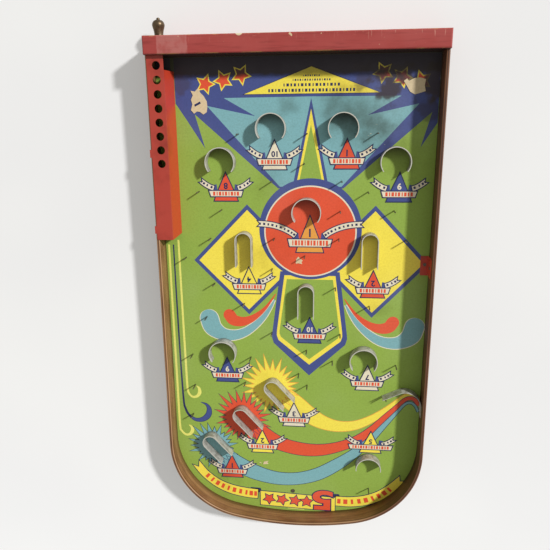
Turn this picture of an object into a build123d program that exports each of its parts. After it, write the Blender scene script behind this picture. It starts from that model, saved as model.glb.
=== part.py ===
"""Tabletop bagatelle (pin-board ball game): bent-wood tray, wooden front rail, tin lane cover,
spring plunger, tin scoring cups, pins and a folding wire prop leg.

Frame: X to the player's right, Y from the player to the round far end, Z up.
The origin is the middle of the front rail's underside, on the table. All sizes are in millimetres.
Places on the playfield are given as X and a depth, which is measured from the rail's front face.
"""

import os
from math import atan2, cos, degrees, radians, sin, sqrt

from build123d import *

# ---------------------------------------------------------------- driving dimensions
TRAY_W = 330.0  # across the rim
TRAY_L = 619.5  # front face of the rail to the far end of the rim
RIM_T = 4.0  # bent-wood strip
RIM_H = 38.0
RIM_EASE = 0.9  # rounding of its top edges
CORNER_R = 108.0  # outer radius of the two far corners
END_R = 400.0  # outer radius of the shallow far end
RAIL_T = 19.5
RAIL_H = 45.0
RAIL_EASE = 1.6
RAIL_LAP = 10.0  # how far each rim end runs into the rail's rebate

BOARD_BOTTOM = 8.0
SHEET_T = 0.3
PLAY_TOP = 13.0  # printed surface that the ball rolls on
BALL_D = 14.3

TIN_T = 0.8
FRONT = -RAIL_T / 2
RAIL_BACK = FRONT + RAIL_T
FAR_END = FRONT + TRAY_L
SIDE = TRAY_W / 2
INNER_SIDE = SIDE - RIM_T
CORNER_X = SIDE - CORNER_R
END_Y = FAR_END - END_R
CORNER_Y = END_Y + sqrt((END_R - CORNER_R) ** 2 - CORNER_X**2)
TANGENT = degrees(atan2(CORNER_Y - END_Y, CORNER_X))

# shooter lane and its cover, on the player's right
LANE_X = 152.6
COVER_OUT_X = 163.5
COVER_TOP_X = 144.3
COVER_FOOT_X = 140.0
COVER_END = FRONT + 227.0
COVER_HOLE_R = 4.6
COVER_HOLE_COUNT = 8
COVER_HOLE_PITCH = 15.3
COVER_HOLE_START = FRONT + 30.3
COVER_SLOPE = 4.0  # how far the wall's end slopes back at its foot
WALL_CUT = 12.0  # width of the cuts that go through the leaning wall
BALL_GATE = 15.4  # wall left open beside the rail, where a ball rolls into the lane
EAR_Y = (FRONT + 126.0, FRONT + 215.0)
EAR_W = 9.0
EAR_DROP = 9.0
EAR_LAP = 1.0
EAR_NAIL_DROP = 5.0  # from the top of the rim to the nail
EAR_NAIL_HEAD_T = 1.2

# plunger
PLUNGER_Z = PLAY_TOP + BALL_D / 2
BORE_R = 5.5
BORE_DEPTH = 15.5
ROD_R = 2.5
ROD_TIP = 0.6  # how far the rod stands out of the head
ROD_EASE = 0.5
BUSH_R = 4.0
BUSH_BORE_R = 2.55
BUSH_FLANGE_R = 6.0
BUSH_FLANGE_T = 0.8
BUSH_EASE = 0.4
KNOB_GAP = 0.3
KNOB_DEPTH = 12.0  # depth of the hole in the knob
KNOB_BASE_R = 5.2
KNOB_LENGTH = 20.5
KNOB_CURVE = ((0, KNOB_BASE_R), (4.5, 5.1), (9, 6.1), (13, 6.9), (16.3, 5.6), (18.0, 2.6))
KNOB_NECK = (18.0, 1.8)
KNOB_TIP = (19.3, 1.9)
HEAD_R = 4.7
HEAD_T = 2.5
SPRING_WIRE_R = 0.4
SPRING_MEAN_R = 4.1
SPRING_TURNS = 4.5
SPRING_GAPS = (0.05, 0.1)  # between its wire and the pocket's bottom, and the head

# scoring cups
CUP_H = 14.0
CUP_T = 1.0
CUP_R = 17.5
CUP_MOUTH = 104.0
ARCH_R = 16.5
ARCH_MOUTH = 165.0
SLOT_R = 10.2
SLOT_L = 43.0
SLANT = 42.0  # turn of the slanted slot cups towards the player's left
PRONG_T = 0.8
PRONG_W = 3.0
PRONG_L = 4.0
PRONG_INSET = 6.0  # from a slot cup's open end
HARDWARE_X = -14.0  # centre line of the cups and pins, a little to the player's left

# pins and nails
PIN_R = 0.8
PIN_H = 13.5
PIN_EMBED = 3.6
PIN_POINT = 0.25  # chamfer of the top
NAIL_HEAD_R = 2.0
NAIL_HEAD_T = 0.7
NAIL_SHANK_R = 0.8
NAIL_SHANK_L = 7.5
TACK_GRIP = 3.0  # how far a tack goes into the bent rim
DOME_R = 2.6  # head of the nail that shows near the far end
DOME_T = 0.9
DOME_SHANK_L = 9.0
BATTEN_NAIL_X = (-110.0, -40.0, 40.0, 110.0)
BATTEN_NAIL_T = 0.5
BATTEN_NAIL_L = 9.5

# folding wire prop leg
LEG_WIRE_R = 2.0
LEG_Y = FRONT + 534.0
LEG_Z = 4.6
LEG_ARM_X = 68.0
LEG_TAIL_X = 86.0
LEG_REACH = 58.0
LEG_BEND_R = 6.0
LEG_SPACE = 3.0  # from each arm to the end of the batten that stops it
CLIP_X = 79.0
CLIP_W = 8.0
CLIP_BORE_R = LEG_WIRE_R + 0.05
CLIP_FOOT = 7.0
CLIP_NAIL_SHIFT = 0.4  # from the middle of the foot, outwards
CLEAT_W = 10.0
CLEAT_BOTTOM = 1.0
CLEAT_CHAMFER = 0.8
BATTEN_W = 20.0
BATTEN_Y = FRONT + 259.0
END_BLOCK = (2.5, FRONT + 583.5)
END_BLOCK_L = 60.0
END_BLOCK_W = 22.0
STOP_GAP = 3.0  # from the leg's pivot to the batten that stops it

os.makedirs("parts", exist_ok=True)


# ---------------------------------------------------------------- shared shapes
def arc_point(centre_x, centre_y, radius, angle):
    return (centre_x + radius * cos(radians(angle)), centre_y + radius * sin(radians(angle)))


def tray_outline(inset, open_y):
    """U-shaped face, inset from the outside of the rim, cut straight across at open_y."""
    side = SIDE - inset
    corner = CORNER_R - inset
    end = END_R - inset
    corner_mid = arc_point(CORNER_X, CORNER_Y, corner, TANGENT / 2)
    corner_end = arc_point(CORNER_X, CORNER_Y, corner, TANGENT)
    end_mid = arc_point(0, END_Y, end, 90)
    with BuildSketch() as outline:
        with BuildLine():
            Line((side, open_y), (side, CORNER_Y))
            ThreePointArc((side, CORNER_Y), corner_mid, corner_end)
            ThreePointArc(corner_end, end_mid, (-corner_end[0], corner_end[1]))
            ThreePointArc((-corner_end[0], corner_end[1]), (-corner_mid[0], corner_mid[1]), (-side, CORNER_Y))
            Line((-side, CORNER_Y), (-side, open_y))
            Line((-side, open_y), (side, open_y))
        make_face()
    return outline.sketch


def nail(plane, head_r=NAIL_HEAD_R, head_t=NAIL_HEAD_T, shank_l=NAIL_SHANK_L):
    """A nail whose head stands on the plane and whose shank goes in behind it."""
    with BuildPart() as one_nail:
        with BuildSketch(plane):
            Circle(head_r)
        extrude(amount=head_t)
        with BuildSketch(plane):
            Circle(NAIL_SHANK_R)
        extrude(amount=-shank_l)
    return one_nail.part


def save(part, name):
    part.label = name
    export_step(part, f"parts/{name}.step")


# ---------------------------------------------------------------- tray
with BuildPart() as playfield_board:
    with BuildSketch(Plane.XY.offset(BOARD_BOTTOM)):
        add(tray_outline(RIM_T, RAIL_BACK))
    extrude(amount=PLAY_TOP - SHEET_T - BOARD_BOTTOM)
save(playfield_board.part, "playfield_board")

with BuildPart() as printed_sheet:
    with BuildSketch(Plane.XY.offset(PLAY_TOP - SHEET_T)):
        add(tray_outline(RIM_T, RAIL_BACK))
    extrude(amount=SHEET_T)
save(printed_sheet.part, "printed_sheet")

with BuildPart() as bent_rim:
    with BuildSketch(Plane.XY):
        add(tray_outline(0, RAIL_BACK - RAIL_LAP))
    extrude(amount=RIM_H)
    with BuildSketch(Plane.XY):
        add(tray_outline(RIM_T, FRONT - RAIL_LAP))
    extrude(amount=RIM_H, mode=Mode.SUBTRACT)
    fillet(bent_rim.faces().sort_by(Axis.Z)[-1].edges(), radius=RIM_EASE)
save(bent_rim.part, "bent_rim")

with BuildPart() as front_rail:
    with BuildSketch(Plane.XY):
        with Locations((0, FRONT + RAIL_T / 2)):
            Rectangle(TRAY_W, RAIL_T)
    extrude(amount=RAIL_H)
    fillet(front_rail.faces().sort_by(Axis.Z)[-1].edges(), radius=RAIL_EASE)
    # rebates that take the ends of the rim
    with BuildSketch(Plane.XY):
        with Locations((SIDE - RIM_T / 2, RAIL_BACK - RAIL_LAP / 2), (-SIDE + RIM_T / 2, RAIL_BACK - RAIL_LAP / 2)):
            Rectangle(RIM_T, RAIL_LAP)
    extrude(amount=RIM_H, mode=Mode.SUBTRACT)
    # spring pocket from the lane side, then the smaller hole for the bushing
    with BuildSketch(Plane(origin=(LANE_X, RAIL_BACK, PLUNGER_Z), z_dir=(0, -1, 0))):
        Circle(BORE_R)
    extrude(amount=BORE_DEPTH, mode=Mode.SUBTRACT)
    with BuildSketch(Plane(origin=(LANE_X, FRONT, PLUNGER_Z), z_dir=(0, 1, 0))):
        Circle(BUSH_R)
    extrude(amount=RAIL_T - BORE_DEPTH, mode=Mode.SUBTRACT)
save(front_rail.part, "front_rail")

for name, side in (("side_cleat_right", 1), ("side_cleat_left", -1)):
    with BuildPart() as side_cleat:
        with BuildSketch(Plane.XY.offset(CLEAT_BOTTOM)):
            with Locations((side * (INNER_SIDE - CLEAT_W / 2), (RAIL_BACK + CORNER_Y) / 2)):
                Rectangle(CLEAT_W, CORNER_Y - RAIL_BACK)
        extrude(amount=BOARD_BOTTOM - CLEAT_BOTTOM)
        chamfer(side_cleat.faces().sort_by(Axis.Z)[0].edges().filter_by(Axis.Y), length=CLEAT_CHAMFER)
    save(side_cleat.part, name)

with BuildPart() as cross_batten:
    with BuildSketch(Plane.XY.offset(CLEAT_BOTTOM)):
        with Locations((0, BATTEN_Y)):
            Rectangle(2 * (INNER_SIDE - CLEAT_W), BATTEN_W)
    extrude(amount=BOARD_BOTTOM - CLEAT_BOTTOM)
    chamfer(cross_batten.faces().sort_by(Axis.Z)[0].edges().filter_by(Axis.X), length=CLEAT_CHAMFER)
save(cross_batten.part, "cross_batten")

with BuildPart() as end_block:
    with BuildSketch(Plane.XY.offset(CLEAT_BOTTOM)):
        with Locations(END_BLOCK):
            Rectangle(END_BLOCK_L, END_BLOCK_W)
    extrude(amount=BOARD_BOTTOM - CLEAT_BOTTOM)
    chamfer(end_block.faces().sort_by(Axis.Z)[0].edges(), length=CLEAT_CHAMFER)
save(end_block.part, "end_block")

# ---------------------------------------------------------------- shooter lane cover
with BuildPart() as lane_cover:
    # a flat top on the rim and a wall that leans in towards the playfield
    with BuildSketch(Plane(origin=(0, RAIL_BACK, 0), x_dir=(1, 0, 0), z_dir=(0, -1, 0))):
        with BuildLine():
            Polyline(
                (COVER_OUT_X, RIM_H),
                (COVER_OUT_X, RIM_H + TIN_T),
                (COVER_TOP_X, RIM_H + TIN_T),
                (COVER_FOOT_X, PLAY_TOP),
                (COVER_FOOT_X + TIN_T, PLAY_TOP),
                (COVER_TOP_X + TIN_T, RIM_H),
                close=True,
            )
        make_face()
    extrude(amount=-(COVER_END - RAIL_BACK))
    # opening beside the rail, where the ball enters
    with BuildSketch(Plane.XY.offset(PLAY_TOP)):
        with Locations(((COVER_FOOT_X + COVER_TOP_X) / 2, RAIL_BACK + BALL_GATE / 2)):
            Rectangle(WALL_CUT, BALL_GATE)
    extrude(amount=RIM_H - PLAY_TOP, mode=Mode.SUBTRACT)
    # the wall's far end slopes back
    with BuildSketch(Plane(origin=(COVER_TOP_X, 0, 0), x_dir=(0, 1, 0), z_dir=(1, 0, 0))):
        with BuildLine():
            Polyline((COVER_END - COVER_SLOPE, PLAY_TOP), (COVER_END, PLAY_TOP), (COVER_END, RIM_H), close=True)
        make_face()
    extrude(amount=WALL_CUT, both=True, mode=Mode.SUBTRACT)
    # row of round windows
    with BuildSketch(Plane.XY.offset(RIM_H)):
        for i in range(COVER_HOLE_COUNT):
            with Locations((LANE_X, COVER_HOLE_START + i * COVER_HOLE_PITCH)):
                Circle(COVER_HOLE_R)
    extrude(amount=TIN_T, mode=Mode.SUBTRACT)
    # ears folded down over the outside of the rim
    for ear_y in EAR_Y:
        with BuildSketch(Plane(origin=(0, ear_y - EAR_W / 2, 0), x_dir=(1, 0, 0), z_dir=(0, -1, 0))):
            with BuildLine():
                Polyline(
                    (COVER_OUT_X - EAR_LAP, RIM_H),
                    (COVER_OUT_X - EAR_LAP, RIM_H + TIN_T),
                    (SIDE + TIN_T, RIM_H + TIN_T),
                    (SIDE + TIN_T, RIM_H - EAR_DROP),
                    (SIDE, RIM_H - EAR_DROP),
                    (SIDE, RIM_H),
                    close=True,
                )
            make_face()
        extrude(amount=-EAR_W)
save(lane_cover.part, "lane_cover")

with BuildPart() as lane_cover_nails:
    for ear_y in EAR_Y:
        ear_plane = Plane(origin=(SIDE + TIN_T, ear_y, RIM_H - EAR_NAIL_DROP), z_dir=(1, 0, 0))
        add(nail(ear_plane, head_t=EAR_NAIL_HEAD_T, shank_l=TIN_T + TACK_GRIP))
save(lane_cover_nails.part, "lane_cover_nails")

# ---------------------------------------------------------------- plunger
with BuildPart() as plunger_bushing:
    with BuildSketch(Plane(origin=(LANE_X, FRONT, PLUNGER_Z), z_dir=(0, -1, 0))):
        Circle(BUSH_FLANGE_R)
    extrude(amount=BUSH_FLANGE_T)
    with BuildSketch(Plane(origin=(LANE_X, FRONT, PLUNGER_Z), z_dir=(0, 1, 0))):
        Circle(BUSH_R)
    extrude(amount=RAIL_T - BORE_DEPTH)
    with BuildSketch(Plane(origin=(LANE_X, FRONT - BUSH_FLANGE_T, PLUNGER_Z), z_dir=(0, 1, 0))):
        Circle(BUSH_BORE_R)
    extrude(amount=RAIL_T, mode=Mode.SUBTRACT)
    fillet(plunger_bushing.faces().sort_by(Axis.Y)[0].outer_wire().edges(), radius=BUSH_EASE)
save(plunger_bushing.part, "plunger_bushing")

KNOB_FACE = FRONT - BUSH_FLANGE_T - KNOB_GAP
HEAD_FRONT = RAIL_BACK - HEAD_T
with BuildPart() as plunger_rod:
    with BuildSketch(Plane(origin=(LANE_X, KNOB_FACE - KNOB_DEPTH, PLUNGER_Z), z_dir=(0, 1, 0))):
        Circle(ROD_R)
    extrude(amount=RAIL_BACK + ROD_TIP - (KNOB_FACE - KNOB_DEPTH))
    fillet(plunger_rod.faces().sort_by(Axis.Y)[-1].edges(), radius=ROD_EASE)
save(plunger_rod.part, "plunger_rod")

with BuildPart() as plunger_head:
    with BuildSketch(Plane(origin=(LANE_X, HEAD_FRONT, PLUNGER_Z), z_dir=(0, 1, 0))):
        Circle(HEAD_R)
        Circle(ROD_R, mode=Mode.SUBTRACT)
    extrude(amount=HEAD_T)
    fillet(plunger_head.edges().filter_by(GeomType.CIRCLE).sort_by(SortBy.RADIUS)[-2:], radius=ROD_EASE)
save(plunger_head.part, "plunger_head")

with BuildPart() as plunger_knob:
    # acorn profile: distance out from the rail, then radius
    with BuildSketch(Plane(origin=(LANE_X, KNOB_FACE, PLUNGER_Z), x_dir=(0, -1, 0), z_dir=(0, 0, 1))):
        with BuildLine():
            Line((0, 0), KNOB_CURVE[0])
            Spline(*KNOB_CURVE)
            Line(KNOB_CURVE[-1], KNOB_NECK)
            Spline(KNOB_NECK, KNOB_TIP, (KNOB_LENGTH, 0), tangents=((1, 0.6), (0, -1)))
            Line((KNOB_LENGTH, 0), (0, 0))
        make_face()
    revolve(axis=Axis((LANE_X, KNOB_FACE, PLUNGER_Z), (0, -1, 0)))
    with BuildSketch(Plane(origin=(LANE_X, KNOB_FACE, PLUNGER_Z), z_dir=(0, -1, 0))):
        Circle(ROD_R)
    extrude(amount=KNOB_DEPTH, mode=Mode.SUBTRACT)
save(plunger_knob.part, "plunger_knob")

SPRING_START = RAIL_BACK - BORE_DEPTH + SPRING_WIRE_R + SPRING_GAPS[0]
SPRING_LENGTH = HEAD_FRONT - SPRING_WIRE_R - SPRING_GAPS[1] - SPRING_START
with BuildPart() as plunger_spring:
    with BuildLine() as spring_path:
        Helix(
            pitch=SPRING_LENGTH / SPRING_TURNS,
            height=SPRING_LENGTH,
            radius=SPRING_MEAN_R,
            center=(LANE_X, SPRING_START, PLUNGER_Z),
            direction=(0, 1, 0),
        )
    with BuildSketch(Plane(origin=spring_path.line @ 0, z_dir=spring_path.line % 0)):
        Circle(SPRING_WIRE_R)
    sweep(path=spring_path.line, is_frenet=True)
save(plunger_spring.part, "plunger_spring")

# ---------------------------------------------------------------- scoring cups
def mirrored(offset, depth):
    """A pair of places either side of the hardware centre line; depth is measured from the rail's front."""
    return [(HARDWARE_X + offset, FRONT + depth), (HARDWARE_X - offset, FRONT + depth)]


def ring_cup(place, radius, mouth):
    """Tin strip bent into most of a circle, open towards the far end, with three prongs."""
    with BuildPart() as cup:
        with BuildSketch(Plane(origin=(place[0], place[1], PLAY_TOP))):
            Circle(radius)
            Circle(radius - CUP_T, mode=Mode.SUBTRACT)
            half = radians(mouth / 2)
            reach = 2 * radius
            side_x, side_y = reach * sin(half), reach * cos(half)
            with BuildLine():
                Polyline((0, 0), (side_x, side_y), (side_x, reach), (-side_x, reach), (-side_x, side_y), close=True)
            make_face(mode=Mode.SUBTRACT)
        extrude(amount=CUP_H)
        with BuildSketch(Plane(origin=(place[0], place[1], PLAY_TOP))):
            # the three prongs are spread around the side that faces the player
            with PolarLocations(radius - CUP_T / 2, 3, start_angle=190, angular_range=160):
                Rectangle(PRONG_T, PRONG_W)
        extrude(amount=-PRONG_L)
    return cup.part


def slot_cup(place, turn):
    """Tin strip bent into a long U, open towards the far end when turn is 0; place is its round end's centre."""
    opening = (cos(radians(turn)), sin(radians(turn)), 0)
    straight = SLOT_L - SLOT_R
    inner = SLOT_R - CUP_T
    with BuildPart() as cup:
        with BuildSketch(Plane(origin=(place[0], place[1], PLAY_TOP), x_dir=opening, z_dir=(0, 0, 1))):
            Circle(SLOT_R)
            with Locations((0, straight / 2)):
                Rectangle(2 * SLOT_R, straight)
            Circle(inner, mode=Mode.SUBTRACT)
            with Locations((0, straight / 2)):
                Rectangle(2 * inner, straight, mode=Mode.SUBTRACT)
        extrude(amount=CUP_H)
        with BuildSketch(Plane(origin=(place[0], place[1], PLAY_TOP), x_dir=opening, z_dir=(0, 0, 1))):
            with Locations((SLOT_R - CUP_T / 2, straight - PRONG_INSET), (-SLOT_R + CUP_T / 2, straight - PRONG_INSET)):
                Rectangle(PRONG_T, PRONG_W)
            with Locations((0, -SLOT_R + CUP_T / 2)):
                Rectangle(PRONG_W, PRONG_T)
        extrude(amount=-PRONG_L)
    return cup.part


ROUND_CUPS = (
    mirrored(41.5, 99)
    + mirrored(101.5, 137)
    + [(HARDWARE_X, FRONT + 196), (92.5, FRONT + 378.5), (-87, FRONT + 383.5)]
)
for number, place in enumerate(ROUND_CUPS, start=1):
    save(ring_cup(place, CUP_R, CUP_MOUTH), f"round_cup_{number}")
save(ring_cup((-98, FRONT + 536), ARCH_R, ARCH_MOUTH), "arch_cup")

SLOT_CUPS = (
    [(place, 0) for place in mirrored(76, 230)]
    + [((HARDWARE_X, FRONT + 295), 0)]
    + [((29 + 42 * i, FRONT + 424 + 41.5 * i), SLANT) for i in range(3)]
)
for number, (place, turn) in enumerate(SLOT_CUPS, start=1):
    save(slot_cup(place, turn), f"slot_cup_{number}")

# ---------------------------------------------------------------- pins
PIN_PLACES = (
    mirrored(80.5, 105)
    + mirrored(41, 159.5)
    + mirrored(103, 194)
    + mirrored(118, 229.5)
    + mirrored(39, 228.5)
    + mirrored(78, 313)
    + mirrored(43, 351)
    + [(x, FRONT + depth) for x, depth in (
        (-14, 105), (-11, 139), (116, 172), (-86, 172), (-54, 195),
        (136, 254), (-12, 250), (28, 267), (101, 287), (-50, 290),
        (113, 332), (-15, 374), (134, 384.5), (57, 386), (-48, 388),
        (-128, 391), (-5, 407), (65, 422), (-16, 423), (132.5, 428),
        (137, 471), (-100, 573),
    )]
)
with BuildPart() as pins:
    with BuildSketch(Plane.XY.offset(PLAY_TOP - PIN_EMBED)):
        with Locations(*PIN_PLACES):
            Circle(PIN_R)
    extrude(amount=PIN_EMBED + PIN_H)
    chamfer(pins.faces().group_by(Axis.Z)[-1].edges(), length=PIN_POINT)
save(pins.part, "pins")

# ---------------------------------------------------------------- ball deflector and rim bracket
DEFLECTOR_END = (-112.5, FRONT + 434.0)
DEFLECTOR_BEND = (-136.0, FRONT + 422.6)
DEFLECTOR_TOP = (-150.5, FRONT + 425.2)
DEFLECTOR_RIM = (-INNER_SIDE + 0.5 * TIN_T, FRONT + 441.0)
DEFLECTOR_TAIL = (-INNER_SIDE + 0.5 * TIN_T, FRONT + 456.0)
DEFLECTOR_LIFT = 0.2  # above the playfield
DEFLECTOR_NAIL = (-INNER_SIDE + TIN_T, FRONT + 452.0, PLAY_TOP + 6.0)
DEFLECTOR_NAIL_R = 1.6
DEFLECTOR_BRAD = (-116.6, FRONT + 434.2)
BRAD_H = CUP_H + 1.0
with BuildPart() as deflector_strip:
    with BuildLine() as deflector_path:
        Line(DEFLECTOR_END, DEFLECTOR_BEND)
        ThreePointArc(DEFLECTOR_BEND, DEFLECTOR_TOP, DEFLECTOR_RIM)
        Line(DEFLECTOR_RIM, DEFLECTOR_TAIL)
    with BuildSketch(Plane.XY.offset(PLAY_TOP + DEFLECTOR_LIFT)):
        trace(deflector_path.line, line_width=TIN_T)
    extrude(amount=CUP_H)
save(deflector_strip.part, "deflector_strip")

with BuildPart() as deflector_nails:
    # one through the tail into the rim, one brad that the free end leans on
    add(nail(Plane(origin=DEFLECTOR_NAIL, z_dir=(1, 0, 0)), head_r=DEFLECTOR_NAIL_R, shank_l=TIN_T + TACK_GRIP))
    with BuildSketch(Plane.XY.offset(PLAY_TOP - PIN_EMBED)):
        with Locations(DEFLECTOR_BRAD):
            Circle(PIN_R)
    extrude(amount=PIN_EMBED + BRAD_H)
save(deflector_nails.part, "deflector_nails")

BRACKET_X = -INNER_SIDE
BRACKET_Y = FRONT + 260.0
BRACKET_L = 24.0
BRACKET_W = 10.0
BRACKET_H = 20.0
BRACKET_NAIL_SHIFT = 1.5
BRACKET_NAIL_RISE = 12.0
with BuildPart() as rim_bracket:
    with BuildSketch(Plane(origin=(0, BRACKET_Y, 0), x_dir=(1, 0, 0), z_dir=(0, -1, 0))):
        with BuildLine():
            Polyline(
                (BRACKET_X, PLAY_TOP),
                (BRACKET_X + BRACKET_W, PLAY_TOP),
                (BRACKET_X + BRACKET_W, PLAY_TOP + TIN_T),
                (BRACKET_X + TIN_T, PLAY_TOP + TIN_T),
                (BRACKET_X + TIN_T, PLAY_TOP + BRACKET_H),
                (BRACKET_X, PLAY_TOP + BRACKET_H),
                close=True,
            )
        make_face()
    extrude(amount=BRACKET_L / 2, both=True)
save(rim_bracket.part, "rim_bracket")

with BuildPart() as rim_bracket_nails:
    flat = Plane(origin=(BRACKET_X + BRACKET_W / 2, BRACKET_Y - BRACKET_NAIL_SHIFT, PLAY_TOP + TIN_T))
    upright = Plane(origin=(BRACKET_X + TIN_T, BRACKET_Y, PLAY_TOP + BRACKET_NAIL_RISE), z_dir=(1, 0, 0))
    add(nail(flat, shank_l=TIN_T + PIN_EMBED))
    add(nail(upright, shank_l=TIN_T + TACK_GRIP))
save(rim_bracket_nails.part, "rim_bracket_nails")

# ---------------------------------------------------------------- nails in the wood
RIM_NAIL_Z = (BOARD_BOTTOM + PLAY_TOP) / 2
RIM_NAIL_PITCH = 80.0
RIM_NAIL_ROWS = 6
RIM_NAIL_START = RAIL_BACK + 50.0
RAIL_NAIL_Z = (10.0, 30.0)
CORNER_NAIL_ANGLES = (20.0, 60.0)
with BuildPart() as rim_nails:
    for side in (1, -1):
        for i in range(RIM_NAIL_ROWS):
            nail_y = RIM_NAIL_START + i * RIM_NAIL_PITCH
            add(nail(Plane(origin=(side * SIDE, nail_y, RIM_NAIL_Z), z_dir=(side, 0, 0))))
        for nail_z in RAIL_NAIL_Z:
            add(nail(Plane(origin=(side * SIDE, RAIL_BACK - RAIL_LAP / 2, nail_z), z_dir=(side, 0, 0))))
        for angle in CORNER_NAIL_ANGLES:
            out = (side * cos(radians(angle)), sin(radians(angle)), 0)
            x, y = arc_point(CORNER_X, CORNER_Y, CORNER_R, angle)
            add(nail(Plane(origin=(side * x, y, RIM_NAIL_Z), z_dir=out)))
    add(nail(Plane(origin=(0, FAR_END, RIM_NAIL_Z), z_dir=(0, 1, 0))))
save(rim_nails.part, "rim_nails")

with BuildPart() as board_nails:
    # one driven down through the playfield near the far end, the rest up into the board from the battens
    add(nail(Plane(origin=(*END_BLOCK, PLAY_TOP)), head_r=DOME_R, head_t=DOME_T, shank_l=DOME_SHANK_L))
    for x in BATTEN_NAIL_X:
        batten_plane = Plane(origin=(x, BATTEN_Y, CLEAT_BOTTOM), z_dir=(0, 0, -1))
        add(nail(batten_plane, head_t=BATTEN_NAIL_T, shank_l=BATTEN_NAIL_L))
save(board_nails.part, "board_nails")

# ---------------------------------------------------------------- prop leg
with BuildPart() as prop_leg:
    with BuildLine() as leg_path:
        FilletPolyline(
            (LEG_TAIL_X, LEG_Y, LEG_Z),
            (LEG_ARM_X, LEG_Y, LEG_Z),
            (LEG_ARM_X, LEG_Y - LEG_REACH, LEG_Z),
            (-LEG_ARM_X, LEG_Y - LEG_REACH, LEG_Z),
            (-LEG_ARM_X, LEG_Y, LEG_Z),
            (-LEG_TAIL_X, LEG_Y, LEG_Z),
            radius=LEG_BEND_R,
        )
    with BuildSketch(Plane(origin=(LEG_TAIL_X, LEG_Y, LEG_Z), z_dir=(-1, 0, 0))):
        Circle(LEG_WIRE_R)
    sweep(path=leg_path.line)
save(prop_leg.part, "prop_leg")

for name, side in (("leg_clip_right", 1), ("leg_clip_left", -1)):
    with BuildPart() as leg_clip:
        clip_plane = Plane(origin=(side * CLIP_X, LEG_Y, LEG_Z), x_dir=(0, 1, 0), z_dir=(1, 0, 0))
        rise = BOARD_BOTTOM - LEG_Z
        outer_r = CLIP_BORE_R + TIN_T
        with BuildSketch(clip_plane):
            Circle(outer_r)
            with Locations((0, rise / 2)):
                Rectangle(2 * outer_r, rise)
            with Locations((0, rise - TIN_T / 2)):
                Rectangle(2 * (outer_r + CLIP_FOOT), TIN_T)
            Circle(CLIP_BORE_R, mode=Mode.SUBTRACT)
            with Locations((0, rise / 2)):
                Rectangle(2 * CLIP_BORE_R, rise, mode=Mode.SUBTRACT)
        extrude(amount=CLIP_W / 2, both=True)
    save(leg_clip.part, name)

with BuildPart() as leg_clip_nails:
    for side in (1, -1):
        for offset in (-1, 1):
            foot_y = LEG_Y + offset * (CLIP_BORE_R + TIN_T + CLIP_FOOT / 2 + CLIP_NAIL_SHIFT)
            add(
                nail(
                    Plane(origin=(side * CLIP_X, foot_y, BOARD_BOTTOM - TIN_T), z_dir=(0, 0, -1)),
                    shank_l=TIN_T + PIN_EMBED,
                )
            )
save(leg_clip_nails.part, "leg_clip_nails")

with BuildPart() as leg_stop_batten:
    with BuildSketch(Plane.XY.offset(CLEAT_BOTTOM)):
        with Locations((0, LEG_Y + STOP_GAP + BATTEN_W / 2)):
            Rectangle(2 * (LEG_ARM_X + LEG_WIRE_R + LEG_SPACE), BATTEN_W)
    extrude(amount=BOARD_BOTTOM - CLEAT_BOTTOM)
save(leg_stop_batten.part, "leg_stop_batten")
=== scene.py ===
"""Looks of a tabletop bagatelle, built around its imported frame.

Places on the playfield are in millimetres: x to the player's right and d, the depth from the
rail's front face. The printed artwork has its own centre line, a little to the player's left.
"""

import random
from math import atan2, cos, pi, radians, sin, sqrt

import bmesh
import bpy
from mathutils import Matrix, Vector
from mathutils.geometry import tessellate_polygon


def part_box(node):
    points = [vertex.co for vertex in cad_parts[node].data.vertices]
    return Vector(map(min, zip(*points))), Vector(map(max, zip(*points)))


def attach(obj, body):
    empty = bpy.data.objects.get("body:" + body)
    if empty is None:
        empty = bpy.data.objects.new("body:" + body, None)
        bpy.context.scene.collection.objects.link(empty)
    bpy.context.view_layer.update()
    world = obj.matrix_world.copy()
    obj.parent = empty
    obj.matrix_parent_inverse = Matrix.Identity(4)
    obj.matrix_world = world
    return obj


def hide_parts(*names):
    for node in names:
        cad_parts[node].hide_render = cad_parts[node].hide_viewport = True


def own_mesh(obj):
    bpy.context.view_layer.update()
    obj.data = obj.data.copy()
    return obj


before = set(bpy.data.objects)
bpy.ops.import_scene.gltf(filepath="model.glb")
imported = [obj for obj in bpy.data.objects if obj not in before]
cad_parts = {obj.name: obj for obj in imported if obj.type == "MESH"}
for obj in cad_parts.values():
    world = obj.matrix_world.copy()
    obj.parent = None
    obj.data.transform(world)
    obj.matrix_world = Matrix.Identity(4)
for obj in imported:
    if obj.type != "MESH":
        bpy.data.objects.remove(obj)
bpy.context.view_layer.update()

MM = 0.001
FRONT_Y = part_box("front_rail")[0].y
RAIL_BACK_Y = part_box("front_rail")[1].y
RAIL_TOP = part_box("front_rail")[1].z
SHEET_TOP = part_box("printed_sheet")[1].z
SHEET_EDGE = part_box("printed_sheet")[1].x
LANE_X = (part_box("plunger_rod")[0].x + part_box("plunger_rod")[1].x) / 2
LANE_Z = (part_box("plunger_rod")[0].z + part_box("plunger_rod")[1].z) / 2
ART_X = -18.4  # the artwork's centre line, in mm from the board's
ROUND_CUPS = [f"round_cup_{i}" for i in range(1, 8)]
SLOT_CUPS = [f"slot_cup_{i}" for i in range(1, 7)]


def srgb(red, green, blue):
    """A colour given as the eye sees it, from 0 to 255, as linear light."""
    linear = []
    for value in (red, green, blue):
        v = value / 255
        linear.append(v / 12.92 if v <= 0.04045 else ((v + 0.055) / 1.055) ** 2.4)
    return (*linear, 1.0)


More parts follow.
